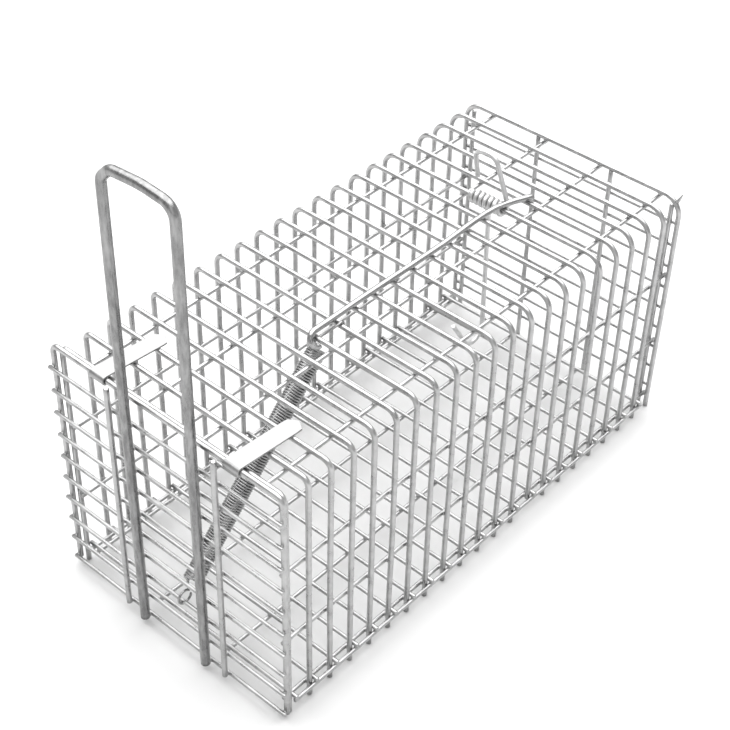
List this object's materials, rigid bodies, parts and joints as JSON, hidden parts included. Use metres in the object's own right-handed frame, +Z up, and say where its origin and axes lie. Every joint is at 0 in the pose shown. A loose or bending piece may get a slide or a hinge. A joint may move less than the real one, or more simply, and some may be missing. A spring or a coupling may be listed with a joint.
{
  "type": "live catch trap",
  "caption": "Welded wire box trap with a hinged barred door, tall door handle, roof set lever, trigger with bait hook and a closing spring.",
  "frame": {"origin": "centre of the bounding box in plan, on the ground under the feet", "axes": "X across the cage, Y along the cage with the door at -Y, Z up"},
  "size_m": [0.1354, 0.2804, 0.2478],
  "materials": {
    "galvanised_wire": "galvanised, slightly dull",
    "plated_rod": "zinc plated, semi-gloss",
    "zinc_sheet": "bright zinc, satin",
    "spring_wire": "drawn spring wire"
  },
  "bodies": {
    "cage": {"hoop_01": "galvanised_wire", "hoop_02": "galvanised_wire", "hoop_03": "galvanised_wire", "hoop_04": "galvanised_wire", "hoop_05": "galvanised_wire", "hoop_06": "galvanised_wire", "hoop_07": "galvanised_wire", "hoop_08": "galvanised_wire", "hoop_09": "galvanised_wire", "hoop_10": "galvanised_wire", "hoop_11": "galvanised_wire", "hoop_12": "galvanised_wire", "hoop_13": "galvanised_wire", "hoop_14": "galvanised_wire", "hoop_15": "galvanised_wire", "hoop_16": "galvanised_wire", "hoop_17": "galvanised_wire", "hoop_18": "galvanised_wire", "hoop_19": "galvanised_wire", "hoop_20": "galvanised_wire", "hoop_21": "galvanised_wire", "hoop_22": "galvanised_wire", "roof_wire_1": "galvanised_wire", "roof_wire_2": "galvanised_wire", "roof_wire_3": "galvanised_wire", "roof_wire_4": "galvanised_wire", "side_wire_left_upper": "galvanised_wire", "side_wire_left_middle": "galvanised_wire", "side_wire_left_bottom": "galvanised_wire", "side_wire_right_upper": "galvanised_wire", "side_wire_right_middle": "galvanised_wire", "side_wire_right_bottom": "galvanised_wire", "floor_rail_1": "galvanised_wire", "floor_rail_2": "galvanised_wire", "floor_rail_3": "galvanised_wire", "floor_rail_4": "galvanised_wire", "floor_cross_wires": "galvanised_wire", "rear_upright_1": "galvanised_wire", "rear_upright_2": "galvanised_wire", "rear_upright_3": "galvanised_wire", "rear_upright_4": "galvanised_wire", "rear_bars": "galvanised_wire", "hinge_strap_left": "zinc_sheet", "hinge_strap_right": "zinc_sheet", "spring_upper_hook": "spring_wire"},
    "door": {"door_frame": "galvanised_wire", "door_bars": "galvanised_wire", "door_upright_left": "galvanised_wire", "door_upright_right": "galvanised_wire", "handle": "plated_rod"},
    "lever": {"lever": "plated_rod"},
    "trigger": {"trigger": "plated_rod"},
    "spring_top": {"spring_coil": "spring_wire"},
    "spring_low": {"spring_lower_hook": "spring_wire"}
  },
  "joints": [
    {"name": "door_hinge", "type": "hinge", "parent": "cage", "child": "door", "pos_m": [0, -0.13267, 0.1304], "axis": [-1, 0, 0], "range_deg": [0, 88], "stiffness_Nm_per_rad": 0.03, "springref_deg": -57.3},
    {"name": "lever_pivot", "type": "hinge", "parent": "cage", "child": "lever", "pos_m": [0.007, -0.05353, 0.1286], "axis": [1, 0, 0], "range_deg": [0, 110]},
    {"name": "trigger_pivot", "type": "hinge", "parent": "cage", "child": "trigger", "pos_m": [0, 0.07347, 0.1286], "axis": [1, 0, 0], "range_deg": [-25, 25]},
    {"name": "spring_turn", "type": "hinge", "parent": "cage", "child": "spring_top", "pos_m": [0.007, -0.05337, 0.1174], "axis": [-1, 0, 0], "range_deg": [0, 49.4]},
    {"name": "spring_stretch", "type": "slide", "parent": "spring_top", "child": "spring_low", "axis": [-0.0084, -0.6815, -0.7317], "range_m": [0, 0.0613], "deforming": ["spring_coil"]}
  ],
  "couplings": [
    {"joint": "spring_turn", "follows": "door_hinge", "ratio": 0.55579},
    {"joint": "spring_stretch", "follows": "door_hinge", "m_per_rad": 0.039285}
  ]
}
